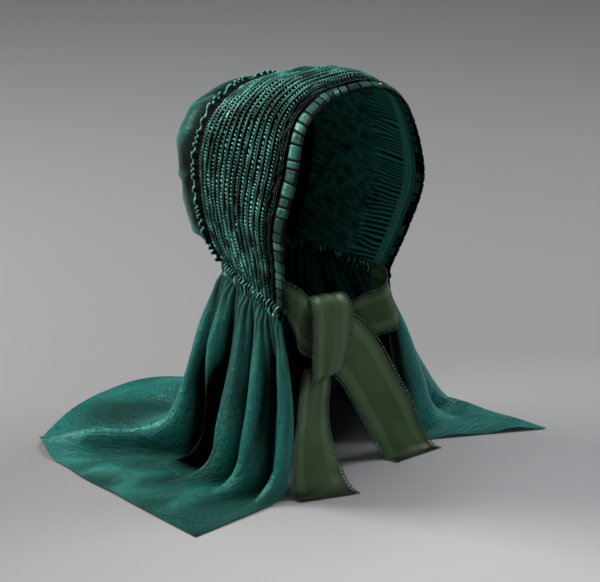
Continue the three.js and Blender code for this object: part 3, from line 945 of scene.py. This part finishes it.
small_pleats *= 0.75 + 0.5 * drift(x, from_neck * 0.2, 25, 65)
wander = 0.012 * drift(from_neck, x, 60, 66)
deep_folds = fold_shape(np.clip(around + wander, 0, 1)) ** 0.8 - 0.55
hanging = ease(from_neck, 0, 70) * (1 - ease(gone, -20, 60))
deep_folds *= 0.85 + 0.5 * drift(x, from_neck * 0.15, 55, 68)
hollow = np.exp(-(((around - HOLLOW_AT) / HOLLOW_WIDTH) ** 2))
hollow *= ease(from_neck, 60, 150) * (1 - ease(gone, -15, 45))
pleats = (SMALL_PLEAT * small_pleats + DEEP_FOLD * deep_folds) * hanging - HOLLOW_DEPTH * hollow
roll = np.exp(-(((around - ROLL_AT) / ROLL_WIDTH) ** 2))
roll *= ease(gone, -30, 20) * (1 - ease(gone, 120, 175))
height = 1.3 * gathers * neck_fade + (1.9 - 1.1 * on_table) * creases + 2.2 * slack
height += pleats + ROLL_RISE * roll + (2.0 * slack + 2.2 * ridges) * on_table
height = height * (1 - on_table) + on_table * np.maximum(height + 1.2, 0)  # the table is solid
height *= 1 - 0.9 * ease(down, 0.86, 0.99)  # the hem lies down
print("cape heights from", height.min().round(1), "to", height.max().round(1), "mm")

# %% Cape
tucked = fold_sum(around, 2) * (1 - ease(from_neck, 0, 16))
inward = (spline(CAPE_RUNS[:, 2:4], around) - neck(around)[..., :2]) * -1
inward /= np.linalg.norm(inward, axis=2, keepdims=True)
base[..., :2] += inward * tucked[..., None]
cape_grid = base + outward(base) * (CAPE_LIFT + height)[..., None]
cape_grid[..., 2] = np.maximum(cape_grid[..., 2], TABLE_Z + TABLE_GAP)
shade = 0.68 + 0.1 * height * (1 - on_table) + on_table * (0.18 * ridges + 0.3 * slack)
cape = cloth(
    "neck_cape",
    cape_grid,
    cape_silk,
    relief=np.clip(shade - 0.2 * neck_fade * (1 - gathers), 0, 1),
    stands_for=["cape"],
    uv=np.stack([x * 2.2, from_neck], axis=-1),
)

# %% [markdown]
# ## Ribbon with satin stripes
# The ties are olive ribbon with a matt ribbed ground, a glossier satin stripe near each edge, and tiny loops
# of silk, called picots, along both edges. In satin long threads float on the surface, so it takes a
# sharper, brighter gloss. One UV direction runs across the ribbon, so the stripes are steps in it.

# %% Ribbon finish
RIBBON_MM = 58
STRIPE_MM = (5, 14)
STRIPE_SOFT = 0.02
RIBBON_CRUMPLE_MM = 9
RIBBON_RIB_MM = 0.9  # grosgrain-like ribs, drawn a little coarser than real so that they show

constants = {"IOR": SILK_IOR, "Specular Tint": linear("#a9bd97"), "Sheen Weight": 0.06}
constants |= {"Sheen Roughness": 0.4, "Sheen Tint": linear("#aebf9c")}
ribbon_silk, tree, shader = new_finish("satin_striped_ribbon", constants)
place = add(tree, "ShaderNodeUVMap", uv_map="cloth_mm").outputs["UV"]
across = add(tree, "ShaderNodeSeparateXYZ", {"Vector": place}).outputs["X"]
from_middle = add(tree, "ShaderNodeMath", {0: across, 1: RIBBON_MM / 2}, operation="SUBTRACT")
to_edge = add(tree, "ShaderNodeMath", {0: from_middle.outputs[0]}, operation="ABSOLUTE")
half_width = RIBBON_MM / 2
share = add(tree, "ShaderNodeMath", {0: to_edge.outputs[0], 1: half_width}, operation="DIVIDE")
stripe = add(tree, "ShaderNodeValToRGB", {"Fac": share.outputs[0]})
inner, outer = (half_width - STRIPE_MM[1]) / half_width, (half_width - STRIPE_MM[0]) / half_width
set_stops(
    stripe.color_ramp,
    [
        (inner - STRIPE_SOFT, "#000000"),
        (inner + STRIPE_SOFT, "#ffffff"),
        (outer - STRIPE_SOFT, "#ffffff"),
        (outer + STRIPE_SOFT, "#000000"),
    ],
)
relief = add(tree, "ShaderNodeAttribute", attribute_name="relief").outputs["Fac"]
# Both ramps paint shade in the sunk folds and at the ends of the ties, and light on their raised folds.
ground = add(tree, "ShaderNodeValToRGB", {"Fac": relief})
set_stops(ground.color_ramp, [(0.0, "#0d140b"), (0.5, "#32442b"), (1.0, "#43573a")])
satin = add(tree, "ShaderNodeValToRGB", {"Fac": relief})
set_stops(satin.color_ramp, [(0.0, "#10180e"), (0.5, "#3f5437"), (1.0, "#52684a")])
blend = add(
    tree,
    "ShaderNodeMix",
    {
        "Factor": stripe.outputs["Color"],
        MIX_A: ground.outputs["Color"],
        MIX_B: satin.outputs["Color"],
    },
    data_type="RGBA",
)
tree.links.new(blend.outputs[MIXED], shader.inputs["Base Color"])
gloss = add(
    tree, "ShaderNodeMapRange", {"Value": stripe.outputs["Color"], "To Min": 0.5, "To Max": 0.33}
)
tree.links.new(gloss.outputs["Result"], shader.inputs["Roughness"])
rib_scale = WAVE_PERIOD / RIBBON_RIB_MM
ribs = add(tree, "ShaderNodeTexWave", {"Vector": place, "Scale": rib_scale}, bands_direction="Y")
crumple_scale = 1 / RIBBON_CRUMPLE_MM
crumple = add(tree, "ShaderNodeTexNoise", {"Vector": place, "Scale": crumple_scale, "Detail": 4.0})
fine = add(
    tree, "ShaderNodeBump", {"Height": ribs.outputs["Fac"], "Strength": 0.2, "Distance": 0.3 * MM}
)
bump = add(
    tree,
    "ShaderNodeBump",
    {
        "Height": crumple.outputs["Fac"],
        "Strength": 0.5,
        "Distance": 1.0 * MM,
        "Normal": fine.outputs["Normal"],
    },
)
tree.links.new(bump.outputs["Normal"], shader.inputs["Normal"])
print("stripe", STRIPE_MM, "mm from the edge")

# %% [markdown]
# ## Picot thread
# The loops are twisted silk thread, darker and bluer than the ribbon, with a small painted glint, a lighter
# colour and a lower roughness, on every turn.

# %% Picot finish
TWIST_MM = 1.1

picot_silk, tree, shader = new_finish("twisted_silk_thread", {"IOR": SILK_IOR})
where = add(tree, "ShaderNodeNewGeometry").outputs["Position"]
twist_scale = 1 / (TWIST_MM * MM)
twist = add(tree, "ShaderNodeTexNoise", {"Vector": where, "Scale": twist_scale, "Detail": 2.0})
# Painted glint: the lightest stop lights up the turns of the thread.
thread_colour_and_glint = add(tree, "ShaderNodeValToRGB", {"Fac": twist.outputs["Fac"]})
set_stops(thread_colour_and_glint.color_ramp, [(0.4, "#07130d"), (0.55, "#1c3a2b"), (0.68, "#5f8a72")])
tree.links.new(thread_colour_and_glint.outputs["Color"], shader.inputs["Base Color"])
worn_gloss = add(
    tree, "ShaderNodeMapRange", {"Value": twist.outputs["Fac"], "To Min": 0.5, "To Max": 0.3}
)
tree.links.new(worn_gloss.outputs["Result"], shader.inputs["Roughness"])
print("twist", TWIST_MM, "mm")

# %% [markdown]
# ## The ties
# Each tie is a ribbon swept along a table of places, with the direction and the width it has there. In the
# knot it is drawn together, so its spare width stands up in lengthwise folds. Picots are small loops of thin
# tube, set side by side along both edges.

# %% Ties
RIGHT_TIE = [
    # x, y, z, turn and lean of its width in degrees, width
    (-71.4, -16, -200, 180, 72, 42),
    (-70, -30, -208, 180, 76, 44),
    (-62, -43, -222, 0, 85, 48),
    (-44, -41, -243, 0, 68, 46),
    (-18, -38.5, -258, 0, 56, 50),
    (8, -40, -277, 0, 46, 58),
    (29, -43, -303, 0, 35, 58),
    (49, -48, -341, -3, 29, 57),
    (67, -57, -383, -6, 22, 56),
    (76, -64, -408, -9, 10, 54),
    (80, -71, -415, -10, 2, 54),
    (82, -79, -416, -10, 0, 54),
]
LEFT_TIE = [
    (67.6, -18, -236, 0, 88, 44),
    (69.4, -33, -238, 0, 88, 48),
    (71, -46, -244, 180, 72, 52),
    (62, -50, -250, 180, 66, 54),
    (47, -39, -256, 180, 66, 52),
    (27, -30, -262, 180, 72, 40),
    (4, -28, -262, 180, 88, 26),
    (-13, -27, -249, 0, 45, 22),
    (-21, -28, -231, 0, 12, 28),
    (-22, -34, -216, 0, -6, 38),
    (-21, -43, -214, 0, -10, 46),
    (-20, -50, -226, 0, -13, 52),
    (-22, -53, -252, 0, -13, 52),
    (-25, -53, -278, 0, -9, 46),
    (-27, -51, -296, 0, -4, 38),
    (-29, -47.5, -300, 0, 0, 36),
    (-30, -45.5, -292, 0, 0, 34),
    (-32, -43.5, -286, 0, 0, 34),
    (-34, -42, -294, 2, 0, 36),
    (-39, -44, -318, 8, -2, 46),
    (-48, -50, -362, 8, -2, 56),
    (-52, -60, -400, -12, 0, 58),
    (-52, -69, -414, -24, 0, 58),
    (-52, -79, -416, -27, 0, 58),
]
PICOT_MM = 3.2
PICOT_REACH = 3.4
PICOT_THREAD = 0.62
PICOT_WIDTH = 0.46  # half a loop's width, as a share of the step from loop to loop
PICOT_GAP = 0.3
PICOT_LIGHT = 0.75
TUBE_SIDES = 4
TIE_ROWS = 41
TIE_STEPS = 30  # from one row of a tie's table to the next
SHADED_END_MM = (22, 8)  # the ends take painted shade where they curl onto the table


def tie_grid(rows, steps):
    """The ribbon's middle face, row by row across it, and its width as drawn in."""
    rows = np.array(rows, float)
    turn, lean = np.radians(rows[:, 3]), np.radians(rows[:, 4])
    aim = np.stack([np.cos(lean) * np.cos(turn), np.cos(lean) * np.sin(turn), np.sin(lean)], axis=1)
    at = np.linspace(0, 1, steps)
    middle = spline(rows[:, :3], at)
    width = spline(aim * rows[:, 5:], at)
    v = np.linspace(-0.5, 0.5, TIE_ROWS)[:, None, None]
    return middle + width * v, np.linalg.norm(width, axis=1)


def picots(name, grid, finish):
    """Loops of thread along both edges of a ribbon, as one mesh of half rings."""
    points, faces = [], []
    ring = np.linspace(0, np.pi, 7)
    tube = np.linspace(0, 2 * np.pi, TUBE_SIDES + 1)[:-1]
    for edge, inside in ((grid[0], grid[1]), (grid[-1], grid[-2])):
        run = np.concatenate([[0], np.cumsum(np.linalg.norm(np.diff(edge, axis=0), axis=1))])
        for at in np.arange(PICOT_MM / 2, run[-1], PICOT_MM):
            i = min(np.searchsorted(run, at), len(edge) - 2)
            ahead = edge[i + 1] - edge[i]
            ahead /= np.linalg.norm(ahead) + 1e-9
            out = edge[i] - inside[i]
            out /= np.linalg.norm(out) + 1e-9
            up = np.cross(ahead, out)
            first = len(points)
            for angle in ring:
                forward, outside = ahead * np.cos(angle), out * np.sin(angle)
                spot = edge[i] + forward * PICOT_MM * PICOT_WIDTH + outside * PICOT_REACH
                away_from = forward + outside
                for t in tube:
                    points.append(spot + PICOT_THREAD * (away_from * np.cos(t) + up * np.sin(t)))
            for s in range(len(ring) - 1):
                low, high = first + s * TUBE_SIDES, first + (s + 1) * TUBE_SIDES
                for t in range(TUBE_SIDES):
                    after = (t + 1) % TUBE_SIDES
                    faces.append((low + t, low + after, high + after, high + t))
    points = np.array(points)
    points[:, 2] = np.maximum(points[:, 2], TABLE_Z + PICOT_GAP)
    no_uv = np.zeros(2 * 4 * len(faces))
    piece = add_piece(name, points, faces, finish, no_uv, np.full(len(points), PICOT_LIGHT))
    return piece


for node, rows, seed in (("right_tie", RIGHT_TIE, 71), ("left_tie", LEFT_TIE, 72)):
    grid, drawn = tie_grid(rows, TIE_STEPS * (len(rows) - 1) + 1)
    length = run_of(grid, 1)
    side = np.linspace(-0.5, 0.5, TIE_ROWS)[:, None]
    spare = np.clip(1 - drawn / RIBBON_MM, 0, 1)
    bunch = np.cos(2 * np.pi * (2.5 * side + 0.25 * drift(length, 0, 30, seed)))
    buckle = drift(length, side * 60, 24, seed + 5)
    height = 1.9 * spare * bunch * (1 - (2 * side) ** 4) + 1.1 * buckle
    height -= 1.2 * (2 * side) ** 2 * (0.6 + 0.4 * drift(length, side * 0, 40, seed + 9))
    grid = grid + outward(grid) * height[..., None]
    grid[..., 2] = np.maximum(grid[..., 2], TABLE_Z + TABLE_GAP)
    shaded_end = ease(length, length[-1] - SHADED_END_MM[0], length[-1] - SHADED_END_MM[1])
    span = np.broadcast_to((side + 0.5) * RIBBON_MM, height.shape)
    # Painted light: the raised folds are painted lighter and the sunk ones darker, with painted shade at the
    # ends.
    ribbon = cloth(
        f"ribbon_{node}",
        grid,
        ribbon_silk,
        relief=np.clip(0.68 + 0.13 * height - 0.55 * shaded_end, 0, 1),
        stands_for=[node],
        uv=np.stack([span, np.broadcast_to(length, height.shape)], axis=-1),
    )
    loops = picots(f"picots_{node}", grid, picot_silk)
    print(node, "is", round(float(length[-1])), "mm long")

# %% [markdown]
# ## The brass pins
# Three dressmaker's pins hold the edges. Of each only the round polished head shows, and a little of its
# shank. A small lathe turns the pin's outline round its own axis. Polished brass is a warm yellow metal, and
# its fine scratches spread each glint a little.

# %% Brass
SCRATCH_MM = 10 / 9  # real scratches are finer, drawn coarser so that they show

brass, tree, shader = new_finish("polished_brass", {"Metallic": 1.0})
scratch = add(tree, "ShaderNodeTexNoise", {"Scale": 1 / (SCRATCH_MM * MM), "Detail": 2.0})
tone = add(tree, "ShaderNodeValToRGB", {"Fac": scratch.outputs["Fac"]})
set_stops(tone.color_ramp, [(0.35, "#c99a3e"), (0.65, "#e9c877")])
tree.links.new(tone.outputs["Color"], shader.inputs["Base Color"])
wear = add(
    tree, "ShaderNodeMapRange", {"Value": scratch.outputs["Fac"], "To Min": 0.16, "To Max": 0.32}
)
tree.links.new(wear.outputs["Result"], shader.inputs["Roughness"])
print("pins are", brass.name)

# %% Pins
PIN_OUTLINE = [
    # along the pin, radius
    (-3.0, 0.3),
    (-1.2, 0.32),
    (-1.05, 0.7),
    (-0.7, 1.1),
    (0, 1.3),
    (0.7, 1.1),
    (1.1, 0.65),
    (1.25, 0.05),
]
PIN_CORNER_AT = 0.5 / 36  # share of the neckline
PIN_DEPTH = 0.025  # share of the hood's depth
PIN_NEIGHBOURS = 0.01 * np.array([-1, 0, 1])

for node in ("pin_top", "pin_side", "pin_corner"):
    low, high = (np.array(corner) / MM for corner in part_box(node))
    middle = (low + high) / 2
    if node == "pin_corner":
        axis = neck_out(np.array(PIN_CORNER_AT))
    else:
        spots = skin(np.linspace(0, 1, 401)[:, None], PIN_DEPTH + PIN_NEIGHBOURS)
        nearest = np.linalg.norm(spots[:, 1] - middle, axis=1).argmin()
        axis = outward(np.swapaxes(spots, 0, 1))[1, nearest]
    one = np.cross(axis, [0, 0, 1])
    one /= np.linalg.norm(one)
    two = np.cross(axis, one)
    angle = np.linspace(0, 2 * np.pi, 25)[:-1]
    rows = spline(PIN_OUTLINE, np.linspace(0, 1, 29))
    spin = np.cos(angle)[:, None] * one + np.sin(angle)[:, None] * two
    pin_grid = middle + rows[:, None, :1] * axis + rows[:, None, 1:] * spin[None]
    pin = cloth(f"brass_{node}", pin_grid, brass, wrap=True, stands_for=[node])
